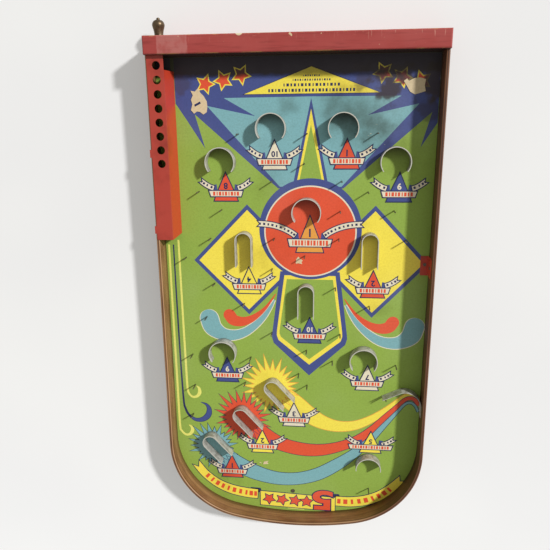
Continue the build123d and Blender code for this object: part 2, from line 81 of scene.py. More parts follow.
# ---------------------------------------------------------------- procedural finishes
class Finish:
    """A node material under construction: colour in layers, then gloss and relief."""

    def __init__(self, name, colour, roughness=0.6, metallic=0.0, coordinate="Object", **sockets):
        self.material = bpy.data.materials.new(name)
        self.material.use_nodes = True
        self.tree = self.material.node_tree
        self.shader = self.tree.nodes["Principled BSDF"]
        self.shader.inputs["Roughness"].default_value = roughness
        self.shader.inputs["Metallic"].default_value = metallic
        for socket, value in sockets.items():
            self.shader.inputs[socket.replace("_", " ")].default_value = value
        self.place = self.tree.nodes.new("ShaderNodeTexCoord").outputs[coordinate]
        self.colour = colour
        self.height = None

    def node(self, kind, settings=None, **inputs):
        made = self.tree.nodes.new(kind)
        for key, value in (settings or {}).items():
            setattr(made, key, value)
        for key, value in inputs.items():
            self.feed(made.inputs[key.replace("_", " ")], value)
        return made

    def feed(self, socket, value):
        if isinstance(value, bpy.types.NodeSocket):
            self.tree.links.new(value, socket)
        else:
            socket.default_value = value

    def noise(self, size, detail, stretch=(1, 1, 1), shift=0.0):
        """Noise with features of about size millimetres, times stretch along each axis."""
        scale = [1 / (size * MM * s) for s in stretch]
        mapping = self.node(
            "ShaderNodeMapping", Vector=self.place, Scale=scale, Location=(shift, shift, shift)
        )
        made = self.node("ShaderNodeTexNoise", Vector=mapping.outputs[0], Scale=1.0, Detail=detail)
        return made.outputs["Fac"]

    def axis(self, name):
        return self.node("ShaderNodeSeparateXYZ", Vector=self.place).outputs[name]

    def ramp(self, value, low, high, start=0.0, end=1.0):
        """Value from low to high becomes start to end, smoothly, and stays there outside."""
        made = self.node("ShaderNodeMapRange", {"interpolation_type": "SMOOTHSTEP"}, Value=value)
        numbers = {"From Min": low, "From Max": high, "To Min": start, "To Max": end}
        for key, number in numbers.items():
            made.inputs[key].default_value = number
        return made.outputs[0]

    def maths(self, operation, first, second):
        made = self.node("ShaderNodeMath", {"operation": operation})
        self.feed(made.inputs[0], first)
        self.feed(made.inputs[1], second)
        return made.outputs[0]

    def times(self, first, second):
        return self.maths("MULTIPLY", first, second)

    def ragged(self, value, noise, reach):
        """A place with up to reach metres of noise added, so that limits on it turn ragged."""
        return self.maths("ADD", value, self.times(noise, reach))

    def off(self, value, middle):
        """How far the value is from middle, either way."""
        return self.maths("ABSOLUTE", self.maths("SUBTRACT", value, middle), 0)

    def away_from(self, place):
        """Distance from a place."""
        away = self.node("ShaderNodeVectorMath", {"operation": "DISTANCE"}, Vector=self.place)
        away.inputs[1].default_value = place
        return away.outputs["Value"]

    def blend(self, how, colour, amount):
        made = self.node("ShaderNodeMix", {"data_type": "RGBA", "blend_type": how})
        # of the node's many sockets, these are the ones for colours
        self.feed(made.inputs[0], amount)
        self.feed(made.inputs[6], self.colour)
        self.feed(made.inputs[7], colour)
        self.colour = made.outputs[2]

    def tint(self, colour, amount):
        """Covers what is there with a colour, by amount, a number or a socket from 0 to 1."""
        self.blend("MIX", colour, amount)

    def shade(self, colour, amount):
        """Stains what is there, as a wash over it."""
        self.blend("MULTIPLY", colour, amount)

    def gloss(self, value, dull, shiny):
        """Roughness from dull, where value is 0, to shiny, where it is 1."""
        self.feed(self.shader.inputs["Roughness"], self.ramp(value, 0.25, 0.75, dull, shiny))

    def relief(self, value, distance, strength=0.6):
        bump = self.node("ShaderNodeBump", Height=value, Strength=strength, Distance=distance * MM)
        if self.height is not None:
            self.tree.links.new(self.height, bump.inputs["Normal"])
        self.height = bump.outputs[0]

    def done(self):
        self.feed(self.shader.inputs["Base Color"], self.colour)
        if self.height is not None:
            self.feed(self.shader.inputs["Normal"], self.height)
        return self.material


GRIME = srgb(150, 132, 90)
STAIN = srgb(146, 130, 112)
# colour of the nearly black patches above the title
DARK_PATCH = srgb(64, 55, 58)
CREAM = srgb(214, 200, 166)
# stained places: x, d, reach and strength
STAINS = (
    (-70, 84, 44, 0.6), (-45, 78, 30, 0.4), (-92, 100, 30, 0.5),
    (8, 75, 18, 0.4), (-120, 130, 40, 0.3), (96, 560, 30, 0.35),
)
# nearly black patches above the title, with the same columns
DARK_PATCHES = (
    (-105, 51, 18, 0.9), (-124, 44, 13, 0.85), (-156, 52, 19, 0.92),
    (-150, 80, 16, 0.5), (-75, 40, 14, 0.5), (134, 46, 16, 0.5),
)
# In metres. Noise adds about half of STAIN_WANDER to every distance, which makes the outlines
# ragged. A stain is full up to STAIN_FULL and gone at its reach plus STAIN_GONE; a nearly black
# patch is full up to its reach plus the first of the second pair below, and gone at its reach plus
# the other.
STAIN_WANDER = 0.05
STAIN_FULL, STAIN_GONE = 0.022, 0.03
DARK_FULL, DARK_GONE = 0.017, 0.028


def spot(x, d):
    """A place on the printed sheet."""
    return Vector((x * MM, FRONT_Y + d * MM, SHEET_TOP))


# painted shade inside these cups, darkest by the wall at the player's end; the radius is that of
# the round end
CUP_R = 0.0165
SLOT_R = 0.0105
SHADED_CUPS = (
    *((cup, CUP_R) for cup in ROUND_CUPS),
    *((cup, SLOT_R) for cup in SLOT_CUPS[:3]),
    ("arch_cup", CUP_R),
)
# colour of the painted shade inside the cups
CUP_SHADE = srgb(132, 112, 92)
CUP_INKS = ("green", "light_blue", "yellow", "red")
# painted shadow below the rail, full up to the first place and gone at the second
RAIL_SHADOW = srgb(58, 50, 47)
RAIL_SHADOW_Y = (RAIL_BACK_Y + 0.021, RAIL_BACK_Y + 0.026)


def ink(name, colour):
    """Printing ink on old paper: grain, faded patches, stains, scratches down to the paper, and
    painted shade.
    """
    made = Finish(f"ink_{name}", colour, roughness=0.5, Specular_IOR_Level=0.35)
    faded = [0.75 * c + 0.2 for c in colour[:3]] + [1]
    made.tint(faded, made.ramp(made.noise(120, 2), 0.5, 0.8, 0, 0.3))
    made.shade(GRIME, made.ramp(made.noise(70, 4, shift=3), 0.56, 0.8, 0, 0.3))
    made.shade(srgb(190, 180, 160), made.ramp(made.noise(2.2, 5), 0.35, 0.75, 0, 0.22))
    wander = made.times(made.noise(16, 6), STAIN_WANDER)
    for x, d, reach, amount in STAINS:
        ragged = made.maths("ADD", made.away_from(spot(x, d)), wander)
        made.shade(STAIN, made.ramp(ragged, STAIN_FULL, reach * MM + STAIN_GONE, amount, 0))
    for x, d, reach, amount in DARK_PATCHES if name != "paper" else ():
        ragged = made.maths("ADD", made.away_from(spot(x, d)), wander)
        limits = (reach * MM + DARK_FULL, reach * MM + DARK_GONE)
        made.tint(DARK_PATCH, made.ramp(ragged, *limits, amount, 0))
    # painted shade on the paper inside the cups, by the wall at the player's end
    for cup, radius in SHADED_CUPS if name in CUP_INKS else ():
        low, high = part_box(cup)
        middle = Vector(((low.x + high.x) / 2, low.y + radius, SHEET_TOP))
        inside = made.ramp(made.away_from(middle), radius - 0.001, radius, 1, 0)
        players_end = made.ramp(made.axis("Y"), low.y, middle.y + 0.002, 0.75, 0)
        made.shade(CUP_SHADE, made.times(inside, players_end))
    made.tint(CREAM, made.ramp(made.noise(1.4, 2, (7, 1, 1), shift=9), 0.78, 0.8, 0, 0.6))
    made.tint(CREAM, made.ramp(made.noise(1.6, 4, shift=5), 0.8, 0.83, 0, 0.8))
    # painted shadow on the paper below the rail, its edge made ragged; lighter on yellow
    rail_shadow = made.ragged(made.axis("Y"), made.noise(12, 3), 0.006)
    amount = 0.4 if name == "yellow" else 0.92
    made.tint(RAIL_SHADOW, made.ramp(rail_shadow, *RAIL_SHADOW_Y, amount, 0))
    made.gloss(made.noise(14, 4), 0.62, 0.42)
    made.relief(made.noise(0.7, 3), 0.03)
    made.relief(made.noise(30, 2), 0.25, 0.35)
    return made.done()


# one large chip out of the rail's front arris
CHIP = Vector((0.058, FRONT_Y - 0.002, RAIL_TOP))
# the glue left by a label, in x: where it starts, is full, thins out and ends
GLUE_X = (0.1165, 0.1175, 0.1505, 0.1515)


def rail_paint():
    """Brush-painted soft wood with chips, worn arrises and rubbed patches."""
    made = Finish("rail_paint", srgb(162, 64, 60), roughness=0.42, Specular_IOR_Level=0.45)
    made.tint(srgb(176, 80, 74), made.ramp(made.noise(40, 4, (3, 1, 1)), 0.45, 0.75, 0, 0.7))
    made.shade(srgb(190, 165, 160), made.ramp(made.noise(2, 4, (14, 1, 1)), 0.45, 0.8, 0, 0.6))
    # glue and wear are on the top only
    top = made.ramp(made.axis("Z"), RAIL_TOP - 0.003, RAIL_TOP - 0.001)
    residue = made.ragged(made.axis("X"), made.noise(9, 4), 0.004)
    patch = made.times(made.ramp(residue, *GLUE_X[:2]), made.ramp(residue, *GLUE_X[2:], 1, 0))
    patch = made.times(patch, top)
    thickness = made.ramp(made.noise(8, 4, shift=1), 0.3, 0.6, 0.3, 0.7)
    made.tint(srgb(182, 112, 106), made.times(patch, thickness))
    bare = srgb(184, 134, 84)
    outer = made.maths("SUBTRACT", made.axis("Y"), made.times(made.noise(5, 5, (2, 1, 1)), 0.006))
    worn_and_highlit = made.ramp(outer, FRONT_Y - 0.0036, FRONT_Y - 0.0024, 0.8, 0)
    made.tint(bare, made.times(top, worn_and_highlit))
    made.tint(CREAM, made.ramp(made.away_from(CHIP), 0.004, 0.0048, 0.95, 0))
    chips = made.noise(7, 5, shift=2)
    made.tint(srgb(214, 190, 150), made.ramp(chips, 0.72, 0.735, 0, 0.95))
    streaks = made.noise(1.2, 3, (9, 1, 1), shift=7)
    made.tint(srgb(200, 120, 100), made.ramp(streaks, 0.72, 0.76, 0, 0.7))
    to_the_left = made.ramp(made.axis("X"), -0.08, -0.04, 1, 0.2)
    knocks = made.times(to_the_left, made.ramp(outer, FRONT_Y, FRONT_Y + 0.008, 1, 0))
    scratches = made.ramp(made.noise(1.2, 3, (1, 9, 1), shift=6), 0.62, 0.68, 0, 0.6)
    made.tint(srgb(206, 146, 128), made.times(top, made.times(knocks, scratches)))
    # the side toward the playfield is rubbed bare in places; below its worn edge, painted shade
    # near black
    inner = made.ramp(made.axis("Y"), RAIL_BACK_Y - 0.0012, RAIL_BACK_Y - 0.0004)
    rubbed_and_highlit = made.ramp(made.noise(14, 4, shift=8), 0.5, 0.62, 0, 0.8)
    made.tint(bare, made.times(inner, rubbed_and_highlit))
    below = made.ramp(made.axis("Z"), RAIL_TOP - 0.0022, RAIL_TOP - 0.0008, 1, 0)
    made.tint(srgb(58, 38, 32), made.times(inner, below))
    made.gloss(made.noise(20, 4), 0.55, 0.36)
    made.relief(made.noise(2.2, 4, (12, 1, 1)), 0.1)
    made.relief(chips, 0.3, 0.25)
    return made.done()


# the lane cover's curved edge ends and its flat top begins between these heights
COVER_FLAT_Z = (0.0365, 0.038)


def cover_paint():
    """Enamel sprayed on tin, rubbed dull in places and rusting at pinholes."""
    made = Finish(
        "cover_paint", srgb(188, 60, 36), roughness=0.38, Coat_Weight=0.2, Coat_Roughness=0.25
    )
    # painted shade: the flat top is darker and less orange than the curved edge and side wall below
    # it
    made.tint(srgb(174, 62, 50), made.ramp(made.axis("Z"), *COVER_FLAT_Z, 0, 0.85))
    made.shade(srgb(170, 130, 110), made.ramp(made.noise(30, 5), 0.5, 0.8, 0, 0.7))
    made.tint(srgb(120, 52, 34), made.ramp(made.noise(2.4, 5, shift=4), 0.72, 0.76, 0, 0.9))
    made.tint(srgb(214, 190, 160), made.ramp(made.noise(1.8, 3, shift=8), 0.79, 0.81, 0, 0.8))
    made.gloss(made.noise(18, 5), 0.5, 0.3)
    made.relief(made.noise(9, 3), 0.2, 0.4)
    return made.done()


def wood(name, light, dark, along, ring):
    """Sawn wood: growth rings drawn out along the grain, pores, and darker handling marks."""
    stretch = [14 if i == along else 1 for i in range(3)]
    made = Finish(name, light, roughness=0.55)
    made.tint(dark, made.ramp(made.noise(ring, 5, stretch), 0.35, 0.7, 0, 1))
    pores = made.noise(ring / 4, 3, stretch, shift=5)
    made.shade(srgb(150, 120, 90), made.ramp(pores, 0.5, 0.8, 0, 0.5))
    made.shade(srgb(120, 95, 70), made.ramp(made.noise(45, 4), 0.45, 0.75, 0, 0.5))
    made.gloss(made.noise(25, 4), 0.7, 0.43)
    made.relief(made.noise(ring / 3, 4, stretch), 0.12)
    return made.done()


def metal(
    name,
    colour,
    dull,
    shiny,
    spots,
    spot_amount,
    spot_size=3.0,
    metallic=0.85,
    highlight_above=None,
):
    """Bare metal gone patchy, with spots of dirt or rust; optionally a painted highlight on the
    rim.
    """
    made = Finish(name, colour, metallic=metallic)
    made.shade(srgb(170, 165, 155), made.ramp(made.noise(6, 5), 0.35, 0.75, 0, 0.8))
    made.tint(spots, made.ramp(made.noise(spot_size, 5, shift=3), 0.6, 0.72, 0, spot_amount))
    if highlight_above:
        # painted highlight on the rim above the given height, and painted shade at the foot of the
        # wall
        worn_and_highlit = made.ragged(made.axis("Z"), made.noise(2, 3, shift=6), 0.0004)
        rubbed_and_highlit = made.ramp(worn_and_highlit, highlight_above, highlight_above + 0.0003, 0, 0.85)
        made.tint(srgb(208, 205, 194), rubbed_and_highlit)
        foot = made.ramp(made.axis("Z"), SHEET_TOP, SHEET_TOP + 0.004, 0.5, 0)
        made.shade(srgb(120, 110, 90), foot)
    made.gloss(made.noise(4, 4), dull, shiny)
    made.relief(made.noise(1.5, 4), 0.05)
    return made.done()


RUST = srgb(104, 62, 36)
INKS = {
    "green": srgb(146, 174, 74),
    "blue": srgb(70, 82, 140),
    "light_blue": srgb(126, 176, 182),
    "yellow": srgb(246, 226, 82),
    "red": srgb(226, 86, 54),
    "orange": srgb(232, 160, 70),
    "cream": srgb(232, 222, 196),
    "navy": srgb(42, 46, 88),
    "lime": srgb(232, 230, 118),
    "paper": srgb(218, 198, 160),
}
ink_finish = {name: ink(name, colour) for name, colour in INKS.items()}

CUP_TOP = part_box("round_cup_1")[1].z
TIN = metal(
    "tin",
    srgb(186, 183, 175),
    0.58,
    0.4,
    srgb(130, 122, 108),
    0.5,
    metallic=0.25,
    highlight_above=CUP_TOP - 0.0005,
)
CLEAN_TIN = metal(
    "clean_tin", srgb(196, 194, 186), 0.55, 0.4, srgb(150, 144, 130), 0.4, metallic=0.15
)
STEEL = metal("old_steel", srgb(130, 122, 110), 0.55, 0.35, RUST, 0.8, 1.5)
PLATED = metal("plated_steel", srgb(176, 172, 162), 0.45, 0.25, srgb(120, 92, 62), 0.6)
BRASS = metal("brass", srgb(176, 140, 74), 0.5, 0.3, srgb(96, 72, 40), 0.6)
KNOB = metal("knob_finish", srgb(122, 104, 82), 0.55, 0.36, srgb(66, 54, 42), 0.8, 2.0)
PLY = wood("plywood", srgb(196, 158, 108), srgb(160, 118, 74), along=1, ring=9)
PINE = wood("pine", srgb(204, 168, 118), srgb(166, 122, 78), along=1, ring=4)
PINE_ACROSS = wood("pine_across", srgb(204, 168, 118), srgb(166, 122, 78), along=0, ring=4)

CAD_FINISHES = {
    ink_finish["green"]: ("printed_sheet",),
    rail_paint(): ("front_rail",),
    cover_paint(): ("lane_cover",),
    PLY: ("playfield_board",),
    PINE: ("side_cleat_right", "side_cleat_left"),
    PINE_ACROSS: ("cross_batten", "end_block", "leg_stop_batten"),
    TIN: (*ROUND_CUPS, *SLOT_CUPS, "arch_cup", "leg_clip_right", "leg_clip_left"),
    CLEAN_TIN: ("deflector_strip",),
    STEEL: (
        "pins",
        "lane_cover_nails",
        "deflector_nails",
        "rim_bracket_nails",
        "rim_nails",
        "board_nails",
        "leg_clip_nails",
    ),
    PLATED: ("prop_leg", "plunger_rod"),
    BRASS: ("plunger_bushing", "plunger_head"),
    KNOB: ("plunger_knob",),
}
for material, nodes in CAD_FINISHES.items():
    for node in nodes:
        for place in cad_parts[node].material_slots:
            place.material = material
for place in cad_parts["rim_bracket"].material_slots:
    place.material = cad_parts["lane_cover"].material_slots[0].material

# sharp sheet-metal and sawn edges catch the light once they are eased, by this many mm
EASED = {
    "lane_cover": 0.3,
    "rim_bracket": 0.25,
    "deflector_strip": 0.2,
    **dict.fromkeys(["arch_cup", *ROUND_CUPS, *SLOT_CUPS], 0.25),
    "side_cleat_right": 0.4,
    "side_cleat_left": 0.4,
    "end_block": 0.4,
    "cross_batten": 0.4,
    "leg_stop_batten": 0.5,
}
for node, width in EASED.items():
    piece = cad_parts[node]
    weld = piece.modifiers.new("weld", "WELD")
    weld.merge_threshold = 0.01 * MM
    bevel = piece.modifiers.new("bevel", "BEVEL")
    bevel.width = width * MM
    bevel.segments = 2
    bevel.limit_method = "ANGLE"
    bevel.angle_limit = radians(40)


# ---------------------------------------------------------------- mesh helpers
def add_piece(name, mesh, material, body):
    piece = bpy.data.objects.new(name, mesh)
    bpy.context.scene.collection.objects.link(piece)
    mesh.materials.append(material)
    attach(piece, body)
    return piece


def smooth(points, steps=8):
    """Points along a smooth line through the given ones (Catmull-Rom)."""
    points = [Vector(p) for p in points]
    ends = [2 * points[0] - points[1], *points, 2 * points[-1] - points[-2]]
    line = []
    for before, a, b, after in zip(ends, ends[1:], ends[2:], ends[3:]):
        for i in range(steps):
            t = i / steps
            line.append(
                0.5
                * (
                    2 * a
                    + (b - before) * t
                    + (2 * before - 5 * a + 4 * b - after) * t**2
                    + (3 * a - before - 3 * b + after) * t**3
                )
            )
    return [*line, points[-1]]


def outline_of(path, extra=0.0, round_start=False):
    """Outline of a ribbon along path, whose points are x, d and half width."""
    path = [Vector(p) for p in path]
    if round_start:
        first, radius = path[0].to_2d(), path[0].z
        back = (path[0] - path[1]).to_2d().normalized()
        angles = [radians(a) for a in (6, 18, 32, 48, 64, 78)]
        cap = [Vector((*(first + back * radius * cos(t)), radius * sin(t))) for t in angles]
        path = cap + path
    left, right = [], []
    for i, point in enumerate(path):
        along = (path[min(i + 1, len(path) - 1)] - path[max(i - 1, 0)]).to_2d().normalized()
        across = Vector((-along.y, along.x)) * (point.z + extra)
        left.append(point.to_2d() + across)
        right.append(point.to_2d() - across)
    return left + right[::-1]


def grown(outline, amount):
    """The outline moved outwards by amount; sharp corners are kept, up to a limit."""
    points = [Vector(p[:2]) for p in outline]
    turned = sum(a.x * b.y - b.x * a.y for a, b in zip(points, points[1:] + points[:1])) > 0
    result = []
    for i, point in enumerate(points):
        before, after = points[i - 1], points[(i + 1) % len(points)]
        first, second = (point - before).normalized(), (after - point).normalized()
        side = 1 if turned else -1
        n1, n2 = Vector((first.y, -first.x)) * side, Vector((second.y, -second.x)) * side
        middle = (n1 + n2).normalized() if (n1 + n2).length > 0.01 else n1
        result.append(point + middle * amount / max(middle.dot(n1), 0.4))
    return result


# ---------------------------------------------------------------- printed artwork
# in mm: how far each layer of ink stands above the one below, and how far all reach into the sheet
INK_STEP = 0.02
INK_ROOT = 0.05
printed = {name: bmesh.new() for name in INKS}


def slab(colour, layer, outline, x_shift=ART_X):
    """A closed film of ink with the given outline; higher layers lie over lower ones."""
    flat = [Vector((x_shift + p[0], p[1], 0)) for p in outline]
    if sum(a.x * b.y - b.x * a.y for a, b in zip(flat, flat[1:] + flat[:1])) < 0:
        flat.reverse()
    triangles = tessellate_polygon([flat])
    bm = printed[colour]
    heights = (SHEET_TOP + layer * INK_STEP * MM, SHEET_TOP - INK_ROOT * MM)
    top, bottom = ([bm.verts.new((p.x * MM, FRONT_Y + p.y * MM, z)) for p in flat] for z in heights)
    for a, b, c in triangles:
        if (flat[b] - flat[a]).cross(flat[c] - flat[a]).z < 0:
            b, c = c, b
        bm.faces.new((top[a], top[b], top[c]))
        bm.faces.new((bottom[a], bottom[c], bottom[b]))
    for i in range(len(flat)):
        j = (i + 1) % len(flat)
        bm.faces.new((bottom[i], bottom[j], top[j], top[i]))


def both(outline):
    """A half outline that starts and ends on the centre line, with its mirror image."""
    return list(outline) + [(-x, d) for x, d in reversed(outline) if x]


def disc(colour, layer, x, d, radius):
    sides = 128
    angles = [2 * pi * i / sides for i in range(sides)]
    slab(colour, layer, [(x + radius * cos(a), d + radius * sin(a)) for a in angles])


def star(colour, layer, x, d, radius, inner, turn, extra=0.0):
    """Five points; inner is the notches' share of the radius, extra a border all round."""
    points = []
    for i in range(10):
        reach = radius if i % 2 == 0 else radius * inner
        angle = turn + pi * i / 5 + pi / 2
        points.append((x + reach * cos(angle), d + reach * sin(angle)))
    slab(colour, layer, grown(points, extra) if extra else points)


def marks(colour, layer, path, height, count, widths=(0.6, 0.45, 0.7, 0.3)):
    """A row of plain upright bars along a line, in place of words."""
    if len(path) > 2:
        line = smooth(path, 16)
    else:
        line = [Vector(path[0]).lerp(Vector(path[1]), i / 64) for i in range(65)]
    last = len(line) - 1
    pitch = sum((b - a).length for a, b in zip(line, line[1:])) / count
    for i in range(count):
        at = (i + 0.5) / count * last
        before, after = line[max(int(at) - 1, 0)], line[min(int(at) + 1, last)]
        along = (after - before).to_2d().normalized()
        half = along * pitch * widths[i % len(widths)] / 2
        up = Vector((-along.y, along.x)) * height / 2
        c = line[int(at)].lerp(after, at % 1).to_2d()
        slab(colour, layer, [c - half - up, c + half - up, c + half + up, c - half + up])


def digits(colour, layer, x, d, text, height, extra, wide=1.0):
    """Numerals that read upright for the player, made bolder by extra."""
    curve = bpy.data.curves.new("numeral", "FONT")
    curve.body = text
    curve.resolution_u = 6
    curve.offset = extra / height
    curve.extrude = 0.5
    made = bpy.data.objects.new("numeral", curve)
    bpy.context.scene.collection.objects.link(made)
    bpy.context.view_layer.update()
    mesh = bpy.data.meshes.new_from_object(made)
    bpy.data.objects.remove(made)
    low = Vector([min(v.co[i] for v in mesh.vertices) for i in range(3)])
    high = Vector([max(v.co[i] for v in mesh.vertices) for i in range(3)])
    scale = (height + 2 * extra) / (high.y - low.y) * MM
    top, root = SHEET_TOP + layer * INK_STEP * MM, SHEET_TOP - INK_ROOT * MM
    middle = (low + high) / 2
    for v in mesh.vertices:
        v.co = (
            (v.co.x - middle.x) * scale * wide + (ART_X + x) * MM,
            (v.co.y - middle.y) * scale + FRONT_Y + d * MM,
            top if v.co.z > middle.z else root,
        )
    welded = bmesh.new()
    welded.from_mesh(mesh)
    bmesh.ops.remove_doubles(welded, verts=welded.verts, dist=1e-6)
    clean = bpy.data.meshes.new("numeral_clean")
    welded.to_mesh(clean)
    welded.free()
    printed[colour].from_mesh(clean)


# the playfield's left edge and the lane's left side, from the artwork's centre line
EDGE = 142.2
LANE = 158.0

# blue field below the rail, with its spikes
slab("blue", 1, [
    (LANE, 20), (LANE, 70), (146, 88), (125, 121), (135.8, 82.2), (38.5, 168), (-38.5, 168),
    (-135.8, 82.2), (-125, 121), (-EDGE, 94), (-EDGE, 20),
])
lane_edge = SHEET_EDGE / MM - ART_X - 0.5
slab("blue", 1, [(LANE + 4, 20.2), (lane_edge, 20.2), (lane_edge, 38), (LANE + 4, 38)])
slab("light_blue", 2, both([(0, 64), (101, 64.5), (64.5, 85), (121, 73), (36.5, 166), (0, 166)]))
slab("navy", 3, both([(0, 30.6), (79.5, 61.4), (0, 61.4)]))
slab("yellow", 4, both([(0, 32), (77, 60.7), (0, 60.7)]))
TEXT_ROWS = ((50, 57.2, 3.4, 26), (33, 51.3, 3.2, 16), (22, 46, 2.2, 16), (10, 41.5, 1.8, 8))
for half, depth, height, count in TEXT_ROWS:
    marks("navy", 5, [(-half, depth, 0), (half, depth, 0)], height, count)
# big yellow and red stars stand where a title was
for x, d, turn in ((122, 49, 0.3), (101, 45, -0.2), (80, 39.5, 0.15)):
    for side in (1, -1):
        star("yellow", 3, side * x, d, 9.5, 0.5, side * turn, 1.3)
        star("red", 4, side * x, d, 9.5, 0.5, side * turn)

# spike up the middle
slab("blue", 5, both([(0, 65.5), (19.5, 157.6), (21, 166), (0, 166)]))
slab("yellow", 6, both([(0, 77.4), (15.7, 157.6), (16.5, 166), (0, 166)]))
slab("green", 7, both([(0, 95), (13, 157.6), (13.8, 166), (0, 166)]))

# diamonds
for side, reach in ((1, 68.0), (-1, 65.6)):
    x, d = (76.5, 257.4) if side == 1 else (-77.2, 258)
    slab("blue", 1, [(x, d - 70), (x + side * reach, d), (x, d + 70), (x - side * 68, d)])
    inner = [(x, d - 63.4), (x + side * (reach - 6.4), d), (x, d + 63.4), (x - side * 61.6, d)]
    slab("yellow", 2, inner)

# shield under the ring
slab("blue", 5, both([(0, 270), (36.5, 270), (47, 349.5), (47.7, 357.5), (45.5, 365.3), (0, 409)]))
shield = [(0, 275), (31.5, 275), (41.3, 348.5), (41.6, 354.5), (39.5, 361), (0, 394)]
slab("yellow", 6, both(shield))
slab("green", 7, both([(0, 280), (28.5, 280), (38, 348.5), (38, 352.5), (36, 357), (0, 386.5)]))

# ring and disc
disc("blue", 8, 0, 217.9, 61.8)
disc("cream", 9, 0, 220.4, 55.9)
disc("red", 10, 0, 220.4, 54.2)

# comma-shaped swirls
BIG_SWIRL = [
    (128.5, 336.5, 11.8), (124, 349, 11.4), (112, 357.5, 8.4), (98, 359, 6.8), (84, 355, 5.6),
    (71, 346, 4.6), (59, 334, 3.4), (50, 321, 2.1), (44, 310, 0.8),
]
SMALL_SWIRL = [
    (102, 331.5, 7.8), (97, 338, 7.6), (87, 340, 6.4), (77, 337.5, 5), (67, 331.5, 3.6),
    (57, 322.5, 2.2), (49, 312, 1.2), (42.5, 302, 0.5),
]
for stretch, shift in ((1, -2.6), (-1.015, 2.2)):
    big, small = (
        smooth([(stretch * x, d + shift, width) for x, d, width in path])
        for path in (BIG_SWIRL, SMALL_SWIRL)
    )
    slab("cream", 1, outline_of(big, 1.0, True))
    slab("light_blue", 2, outline_of(big, 0, True))
    slab("red", 3, outline_of(small, 0, True))

# ribbons that sweep from the bursts to the deflector
TAILS = (
    ("yellow", "orange", 1, [
        (34, 438, 12), (18, 451, 12.5), (1, 465, 11.5), (-18, 476, 9.5), (-39, 481, 7.5),
        (-61, 478.5, 6.2), (-81, 469, 5), (-99, 456, 4), (-115, 441, 2.8), (-124, 433, 2.2),
        (-132, 431.5, 2), (-138, 434.5, 2), (-141.5, 440, 2),
    ]),
    ("red", "navy", 3, [
        (76, 486, 13), (60, 499, 11.5), (38, 511, 9.8), (12, 517.5, 9.4), (-14, 518, 8.4),
        (-39, 512, 7), (-63, 501, 6.2), (-83, 485, 5.5), (-100, 465.5, 4.2),
        (-116, 447, 2.6), (-124, 438.5, 2.4), (-131.5, 436.2, 2.4),
        (-137.5, 439.5, 2.4), (-141, 446.5, 2.4),
    ]),
    ("light_blue", "navy", 5, [
        (118, 532, 13), (100, 544, 12), (74, 557, 11), (45, 564.5, 9.6), (16, 564, 9),
        (-12, 555.5, 9), (-37, 540, 8.4), (-60, 521.5, 6.4), (-81, 500, 4.4),
        (-98, 478, 3.2), (-115, 456, 1.8), (-124, 445, 1.4),
        (-131, 442.6, 1.4), (-137, 446.5, 1.4), (-141.4, 455, 1.4),
    ]),
)
for colour, edge, layer, path in TAILS:
    line = smooth(path)
    slab(edge, layer, outline_of(line, 0.8))
    slab(colour, layer + 1, outline_of(line))

# bursts around the slanted slots, longer away from the ribbons
rays = random.Random(5)


def burst(x, d, colour, edge, layer, reach, inner=20.5):
    points = []
    count = 24
    for i in range(2 * count):
        angle = pi * i / count + 0.1
        lean = max(0.0, cos(angle - radians(-50)))
        uneven = rays.uniform(-3, 3) + (2.5 if i % 4 == 1 else -2)
        out = reach + 10 * lean**2 + uneven if i % 2 else inner + 4 * lean
        points.append((x + out * cos(angle), d + out * sin(angle)))
    slab(edge, layer, grown(points, 1.1 if edge == "orange" else 0.75))
    slab(colour, layer + 1, points)


burst(48.2, 428, "yellow", "orange", 7, reach=33.5)
burst(87, 475.6, "red", "navy", 9, reach=32.5)
burst(128.5, 520.8, "light_blue", "navy", 11, reach=28.0, inner=19.0)

# lane lines and their curls; these are placed from the board's centre line
CRESCENT = 44  # the point of the navy line at which its lighter inside starts
LANE_LINES = (
    ("lime", 1, [
        (157.5, 238, 1.2), (157.5, 320, 1.3), (157.2, 420, 1.4), (157, 488, 1.4), (155, 498, 1.4),
        (149.5, 503.6, 1.5), (143.5, 502.5, 1.9), (140, 497, 2.4), (141, 491.5, 1.6),
        (144.5, 488.8, 0.5),
    ]),
    ("navy", 2, [
        (151.8, 238, 0.8), (151.6, 320, 1), (151, 400, 1.1), (149.9, 452, 1.3), (148, 464, 1.5),
        (143.6, 473.5, 1.8), (135, 480, 2.6), (125, 479.4, 3.6), (117.4, 473, 4.2),
        (115.5, 464, 3.4), (119, 457, 1.9), (126.5, 453.8, 0.4),
    ]),
    ("lime", 1, [
        (145.2, 232, 1.2), (144.8, 320, 1.3), (144.2, 400, 1.4), (143.8, 432, 1.4),
        (142.3, 441, 1.4), (137.6, 446.2, 1.5), (131.5, 445.4, 1.9), (127.6, 440, 2.4),
        (128, 433.6, 1.7), (131.3, 430, 0.5),
    ]),
)
for colour, layer, path in LANE_LINES:
    line = smooth(path)
    slab(colour, layer, outline_of(line), x_shift=0)
    if colour == "navy":
        thinner = [p - Vector((0, 0, min(0.7, 0.5 * p.z))) for p in line[CRESCENT:]]
        slab("blue", layer + 1, outline_of(thinner), x_shift=0)

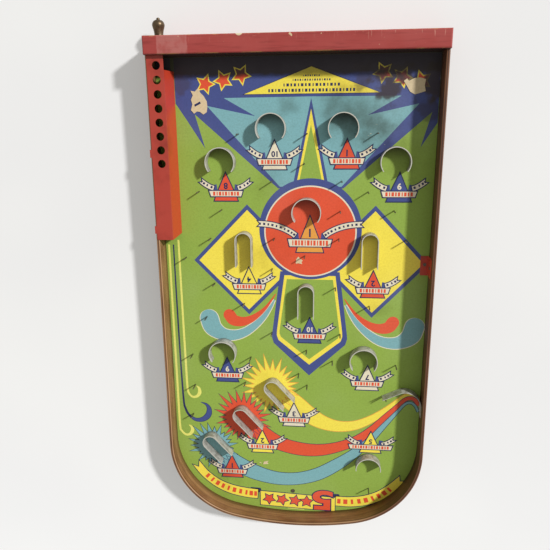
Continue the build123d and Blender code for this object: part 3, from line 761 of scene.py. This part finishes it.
# ribbons and box along the far end
BANNERS = (
    ((151.8, 553.5), 10, [
        (70, 591.5, 7.2), (86, 590.3, 7.2), (107, 586, 6.9), (126, 577.5, 6.3),
        (143, 563.5, 5.8), (155.5, 547, 5.6),
    ]),
    ((-123, 559.6), 9, [
        (-38, 596, 7.2), (-58, 596, 7.4), (-79, 592, 7.3), (-98, 583, 6.9),
        (-113, 570.4, 6.3), (-126.5, 555.5, 5.7),
    ]),
)
for notch, count, path in BANNERS:
    edge = outline_of(smooth(path))
    half = len(edge) // 2
    edge = edge[:half] + [Vector(notch)] + edge[half:]
    slab("navy", 13, grown(edge, 1.0))
    slab("yellow", 14, edge)
    marks("red", 15, path[:-1], 7.4, count, (0.5, 0.62, 0.36))
BOX = [(66, 586.6), (66, 608.4), (-37, 612.4), (-37, 591)]
slab("navy", 13, [(80, 581.5), (72, 589), (64, 589), (66, 582)])
slab("navy", 13, [(-29, 585), (-37, 592), (-46, 592), (-42, 585)])
slab("navy", 16, grown(BOX, 1.0))
slab("yellow", 17, BOX)
for i, x in enumerate((54, 36, 18, 2)):
    star("navy", 18, x, 599.6 - 0.03 * x, 8.2, 0.52, 0.2 * i, 1.1)
    star("red", 19, x, 599.6 - 0.03 * x, 8.2, 0.52, 0.2 * i)
digits("navy", 20, -20, 596, "5", 29, 2.0, 1.45)
digits("red", 21, -20, 596, "5", 29, 0.9, 1.5)
slab("lime", 1, [(5, 612.3), (28, 611.4), (28, 612.4), (5, 613.2)])


RIBBON = [(14.8, 17.4, 2.7), (19.5, 15.8, 2.7), (24.8, 12.8, 2.7), (30.3, 8.6, 2.7)]


def label(x, d, colour, number, numeral="navy", banner=20.3, words=9, size=1.0, ribbon=RIBBON):
    """A pocket's label: numbered triangle, banner, foot, and a forked ribbon each side.

    x and d are where the triangle points, x from the board's centre; banner is its half width.
    """
    x -= ART_X
    tall = 20.6 * size
    wide = size**0.5

    def at(points):
        return [(x + u, d + v) for u, v in points]

    triangle = at([(0, 0), (9.3 * wide, tall), (-9.3 * wide, tall)])
    deep = tall + 6.6 * size
    top = tall + 0.2
    strip = at([(-banner, top), (banner, top), (banner - 2, deep), (2 - banner, deep)])
    under, base = deep + 1.2, deep + 5.2 * size
    narrow, broad = 12.6 * wide, 14 * wide
    foot = at([(-narrow, under), (narrow, under), (broad, base), (-broad, base)])
    for shape, over in ((foot, 20), (triangle, 20), (strip, 22)):
        slab("navy", over, grown(shape, 1.2))
    slab(colour, 21, foot)
    slab(colour, 21, triangle)
    slab("cream", 23, strip)
    middle = (tall + deep) / 2 + 0.1
    row = [(x + 4 - banner, d + middle, 0), (x + banner - 4, d + middle, 0)]
    marks("red", 24, row, 4.7 * size, words, (0.72, 0.5, 0.8, 0.36))
    digits(numeral, 24, x, d + tall * 0.72, number, (7.2 if len(number) == 1 else 6.4) * size, 0.22)
    near = ribbon[0][0] - RIBBON[0][0]
    fold = [(11, tall), (11.8, tall - 7), (15.6, tall - 6.2), (19, tall)]
    for side in (1, -1):
        path = [(x + side * u, d + v, w) for u, v, w in ribbon]
        line = smooth(path, 6)
        edge = outline_of(line)
        half = len(edge) // 2
        inward = (line[-2] - line[-1]).to_2d().normalized() * 2.8
        edge = edge[:half] + [line[-1].to_2d() + inward] + edge[half:]
        slab("blue", 18, grown(at([(side * (u + near), v) for u, v in fold]), 0.6))
        slab("navy", 18.5, grown(edge, 1.1))
        slab("cream", 19, edge)
        words_path = path if len(path) > 4 else [path[0], path[2], path[-1]]
        marks("navy", 20, words_path, 2.7, len(path) * 3 - 8, (0.55, 0.4))


LABELS = (
    (83.2, 150.4, "red", "8"),
    (24.1, 113.1, "cream", "10"),
    (-60.3, 112.3, "red", "1"),
    (57.4, 266.7, "yellow", "4"),
    (-95.8, 268.8, "red", "2"),
    (-93, 394, "cream", "7"),
    (1.1, 450.5, "cream", "3"),
    (43.8, 492.6, "yellow", "2"),
    (86.4, 533.5, "red", "1"),
)
for x, d, colour, number in LABELS:
    label(x, d, colour, number)
label(-121.8, 150.6, "blue", "9", numeral="cream")
label(-18.6, 331, "blue", "10", numeral="cream")
label(88.7, 388.9, "blue", "9", numeral="cream")
label(-100.6, 487.8, "yellow", "5", banner=28.5, words=14, size=0.92)
WIDE_RIBBON = [
    (17.5, 23.2, 3.2), (24, 18.8, 3.2), (33, 14.4, 3.2), (43, 11.2, 3.2), (53, 9.6, 3.2),
    (63, 9, 3.2),
]
label(-18.1, 201.5, "orange", "1", banner=26.5, words=12, size=1.35, ribbon=WIDE_RIBBON)

# places where the print has been torn off down to the paper; from the board's centre line
TORN = (
    [
        (121, 56), (116, 57), (112, 53), (110, 58), (106, 62), (102.5, 68), (102, 74), (103, 80),
        (107, 82.5), (111, 79.5), (114.5, 79), (118, 81.5), (121.5, 77.5), (119.5, 71), (121, 66),
        (118.6, 61),
    ],
    [
        (-121, 49), (-124.5, 46.5), (-126.5, 49), (-133, 46), (-139, 45.6), (-145, 47.5),
        (-144, 54), (-145.4, 60), (-139, 62), (-134, 63.5), (-128.5, 60.5), (-125, 55),
    ],
    [
        (-1.5, 254.5), (-4, 251), (-6, 253), (-9.6, 256), (-8, 258), (-9, 260.4), (-4, 259.4),
        (-1, 260),
    ],
    [(49, 541.5), (45.5, 542.6), (46.6, 540.8)],
    [(42.5, 540), (35.5, 538.2), (38, 540.6), (36.2, 543), (43.4, 544)],
)
for patch in TORN:
    slab("paper", 27, patch, x_shift=0)
slab("navy", 28, [(117.5, 71.5), (110.5, 68), (109.5, 70.2), (116.6, 73.8)], x_shift=0)

for name, bm in printed.items():
    mesh = bpy.data.meshes.new(f"print_{name}")
    bm.to_mesh(mesh)
    bm.free()
    add_piece(f"print_{name}", mesh, ink_finish[name], "tray")

# ---------------------------------------------------------------- bent rim
# all in mm: the strip's thickness, and the radii of the far corners and of the far end
RIM_T = 4.0
CORNER_R = 108.0
END_R = 400.0
rim_low, rim_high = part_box("bent_rim")
SIDE = rim_high.x / MM
END_D = (rim_high.y - FRONT_Y) / MM - END_R
START_D = (rim_low.y - FRONT_Y) / MM
CORNER_X = SIDE - CORNER_R
CORNER_D = END_D + sqrt((END_R - CORNER_R) ** 2 - CORNER_X**2)
TANGENT = atan2(CORNER_D - END_D, CORNER_X)


def rim_line(inset):
    """Points around the tray, inset from the rim's outside."""
    right = [(SIDE - inset, START_D + (CORNER_D - START_D) * i / 60) for i in range(60)]
    for i in range(40):
        angle = TANGENT * i / 40
        radius = CORNER_R - inset
        right.append((CORNER_X + radius * cos(angle), CORNER_D + radius * sin(angle)))
    for i in range(41):
        angle = TANGENT + (pi / 2 - TANGENT) * i / 40
        right.append(((END_R - inset) * cos(angle), END_D + (END_R - inset) * sin(angle)))
    return right + [(-x, d) for x, d in reversed(right[:-1])]


# the strip's section: inset from the outside, height; the top is rounded and a little worn
EASE = 0.9
HEIGHT = rim_high.z / MM
rim_section = [(0, 0), (0, HEIGHT * 0.5), (0, HEIGHT - EASE)]
easing = [radians(a) for a in (22, 45, 68)]
rim_section += [(EASE * (1 - cos(t)), HEIGHT - EASE * (1 - sin(t))) for t in easing]
rim_section += [(EASE, HEIGHT), (RIM_T / 2, HEIGHT), (RIM_T - EASE, HEIGHT)]
rim_section += [(RIM_T - p[0], p[1]) for p in reversed(rim_section[:6])]

lines = [rim_line(inset) for inset, _ in rim_section]
count = len(lines[0])
distance = [0.0]
for a, b in zip(lines[0], lines[0][1:]):
    distance.append(distance[-1] + (Vector(b) - Vector(a)).length)
around = [0.0]
for a, b in zip(rim_section, rim_section[1:] + rim_section[:1]):
    around.append(around[-1] + (Vector(b) - Vector(a)).length)

# the eased edges of the top, as distances around the section
OUTER_ARRIS = around[4] * MM
INNER_ARRIS = around[10] * MM

bm = bmesh.new()
uv = bm.loops.layers.uv.new("grain")
rings = [
    [
        bm.verts.new((line[i][0] * MM, FRONT_Y + line[i][1] * MM, height * MM))
        for line, (_, height) in zip(lines, rim_section)
    ]
    for i in range(count)
]
sides = len(rim_section)
for i in range(count - 1):
    for k in range(sides):
        n = (k + 1) % sides
        face = bm.faces.new((rings[i][k], rings[i][n], rings[i + 1][n], rings[i + 1][k]))
        corners = ((i, k), (i, k + 1), (i + 1, k + 1), (i + 1, k))
        for loop, (at, up) in zip(face.loops, corners):
            loop[uv].uv = (distance[at] * MM, around[up] * MM)
        face.smooth = True
bm.faces.new(rings[0][::-1])
bm.faces.new(rings[-1])
bmesh.ops.recalc_face_normals(bm, faces=bm.faces)
rim_mesh = bpy.data.meshes.new("rim_strip")
bm.to_mesh(rim_mesh)
bm.free()


def rim_wood():
    """Steam-bent ply: grain and glue lines run round the tray, varnish is worn off the top."""
    made = Finish("bent_wood", srgb(158, 118, 80), roughness=0.45, coordinate="UV")
    made.tint(srgb(122, 84, 54), made.ramp(made.noise(1.1, 5, (60, 1, 1)), 0.35, 0.68, 0, 0.85))
    pores = made.noise(0.4, 3, (90, 1, 1), shift=4)
    made.shade(srgb(150, 116, 88), made.ramp(pores, 0.5, 0.75, 0, 0.8))
    made.shade(srgb(170, 135, 112), made.ramp(made.noise(28, 4, (2, 1, 1)), 0.45, 0.75, 0, 0.8))
    wander = 0.0008
    across = made.ragged(made.axis("Y"), made.noise(9, 3, (6, 1, 1), shift=1), wander)
    # paler worn arrises either side of the top, and the dark glue line between them
    for edge in (OUTER_ARRIS, INNER_ARRIS):
        worn_and_highlit = made.ramp(made.off(across, edge + wander / 2), 0.0003, 0.0011, 0.6, 0)
        made.tint(srgb(190, 150, 112), worn_and_highlit)
    between = (OUTER_ARRIS + INNER_ARRIS) / 2 + wander / 2
    made.tint(srgb(70, 44, 30), made.ramp(made.off(across, between), 0.0002, 0.0006, 0.75, 0))
    # two more glue lines down the inner face, and at its foot painted shade, tinted olive as a
    # painted reflection of the board
    for depth, strength in ((0.0022, 0.6), (0.0105, 0.4)):
        line = made.ramp(made.off(across, INNER_ARRIS + depth), 0.0003, 0.0011, strength, 0)
        made.tint(srgb(84, 54, 38), line)
    foot = made.ramp(made.axis("Y"), INNER_ARRIS + 0.014, INNER_ARRIS + 0.024, 0, 0.8)
    made.shade(srgb(150, 138, 100), foot)
    # the player's left side is darker
    place = made.node("ShaderNodeTexCoord").outputs["Object"]
    to_the_left = made.node("ShaderNodeSeparateXYZ", Vector=place).outputs["X"]
    made.shade(srgb(176, 150, 146), made.ramp(to_the_left, -0.13, -0.08, 0.9, 0))
    patches = made.noise(2.5, 5, (6, 1, 1), shift=2)
    made.tint(srgb(198, 156, 104), made.ramp(patches, 0.72, 0.78, 0, 0.7))
    made.gloss(made.noise(20, 4), 0.6, 0.38)
    made.relief(made.noise(0.8, 4, (60, 1, 1)), 0.12)
    return made.done()


rim = add_piece("rim_strip", rim_mesh, rim_wood(), "tray")
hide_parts("bent_rim")

# ---------------------------------------------------------------- plunger spring
WIRE_R = 0.4
TURNS = 4.5
STEPS = 200
FACETS = 12
low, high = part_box("plunger_spring")
mean_r = (high.x - low.x) / 2 / MM - WIRE_R
travel = high.y - low.y - 2 * WIRE_R * MM
facet_angles = [2 * pi * k / FACETS for k in range(FACETS)]
bm = bmesh.new()
rings = []
for i in range(STEPS + 1):
    angle = 2 * pi * TURNS * i / STEPS
    y = low.y + WIRE_R * MM + travel * (i / STEPS)
    centre = Vector((LANE_X + mean_r * MM * cos(angle), y, LANE_Z + mean_r * MM * sin(angle)))
    outward = Vector((cos(angle), 0, sin(angle)))
    around_wire = [outward * cos(t) + Vector((0, 1, 0)) * sin(t) for t in facet_angles]
    rings.append([bm.verts.new(centre + way * WIRE_R * MM) for way in around_wire])
for ring, following in zip(rings, rings[1:]):
    for k in range(FACETS):
        n = (k + 1) % FACETS
        face = bm.faces.new((ring[k], ring[n], following[n], following[k]))
        face.smooth = True
bm.faces.new(rings[0][::-1])
bm.faces.new(rings[-1])
bmesh.ops.recalc_face_normals(bm, faces=bm.faces)
spring_mesh = bpy.data.meshes.new("spring_coil")
bm.to_mesh(spring_mesh)
bm.free()
spring = add_piece("spring_coil", spring_mesh, STEEL, "tray")
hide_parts("plunger_spring")
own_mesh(spring)

# ---------------------------------------------------------------- floor, light and camera
bpy.ops.mesh.primitive_plane_add(size=6.0, location=(0, 0.3, 0))
floor = bpy.context.object
floor.name = "floor"
FLOOR_GLOW = 0.22  # lifts the shadows on the paper, as light from all around would
paper = Finish(
    "floor_paper",
    (0.72, 0.72, 0.72, 1),
    roughness=0.85,
    Emission_Color=(1, 1, 1, 1),
    Emission_Strength=FLOOR_GLOW,
)
paper.shade((0.96, 0.96, 0.97, 1), paper.ramp(paper.noise(400, 2), 0.4, 0.6, 0, 1))
# painted shade: the floor paper darkens towards the player's end, beyond the rail
paper.shade((0.88, 0.875, 0.865, 1), paper.ramp(paper.axis("Y"), -0.15, 0.75, 1, 0))
floor.data.materials.append(paper.done())

SUN_TRAVEL = (1.19, 0.76, -1.0)
SUN_ENERGY = 3.42
SUN_WIDTH = radians(4.5)
sun = bpy.data.lights.new("key", "SUN")
sun.energy = SUN_ENERGY
sun.angle = SUN_WIDTH
sun_lamp = bpy.data.objects.new("key", sun)
sun_lamp.rotation_euler = Vector(SUN_TRAVEL).to_track_quat("-Z", "Y").to_euler()
bpy.context.scene.collection.objects.link(sun_lamp)

SKY_COLOUR = (1.0, 0.99, 0.93, 1)
SKY_STRENGTH = 0.39
world = bpy.data.worlds.new("studio")
world.use_nodes = True
world.node_tree.nodes["Background"].inputs["Color"].default_value = SKY_COLOUR
world.node_tree.nodes["Background"].inputs["Strength"].default_value = SKY_STRENGTH
bpy.context.scene.world = world
bpy.context.scene.view_settings.view_transform = "Standard"

# places in mm, as on the playfield, and the lens and sensor width in mm
CAMERA_AT = (-43.7, 94.7, 677.1)
CAMERA_AIM = (24.8, 275.0, 13.0)
CAMERA_UP = (-0.0087, -1.0, 0.0)
LENS = 36.43
SENSOR = 36.0
eye, aim = (Vector((x * MM, FRONT_Y + d * MM, z * MM)) for x, d, z in (CAMERA_AT, CAMERA_AIM))
forward = (aim - eye).normalized()
right = forward.cross(Vector(CAMERA_UP)).normalized()
up = right.cross(forward)
camera = bpy.data.objects.new("camera", bpy.data.cameras.new("camera"))
camera.data.lens = LENS
camera.data.sensor_width = SENSOR
camera.matrix_world = Matrix.Translation(eye) @ Matrix((right, up, -forward)).transposed().to_4x4()
bpy.context.scene.collection.objects.link(camera)
bpy.context.scene.camera = camera
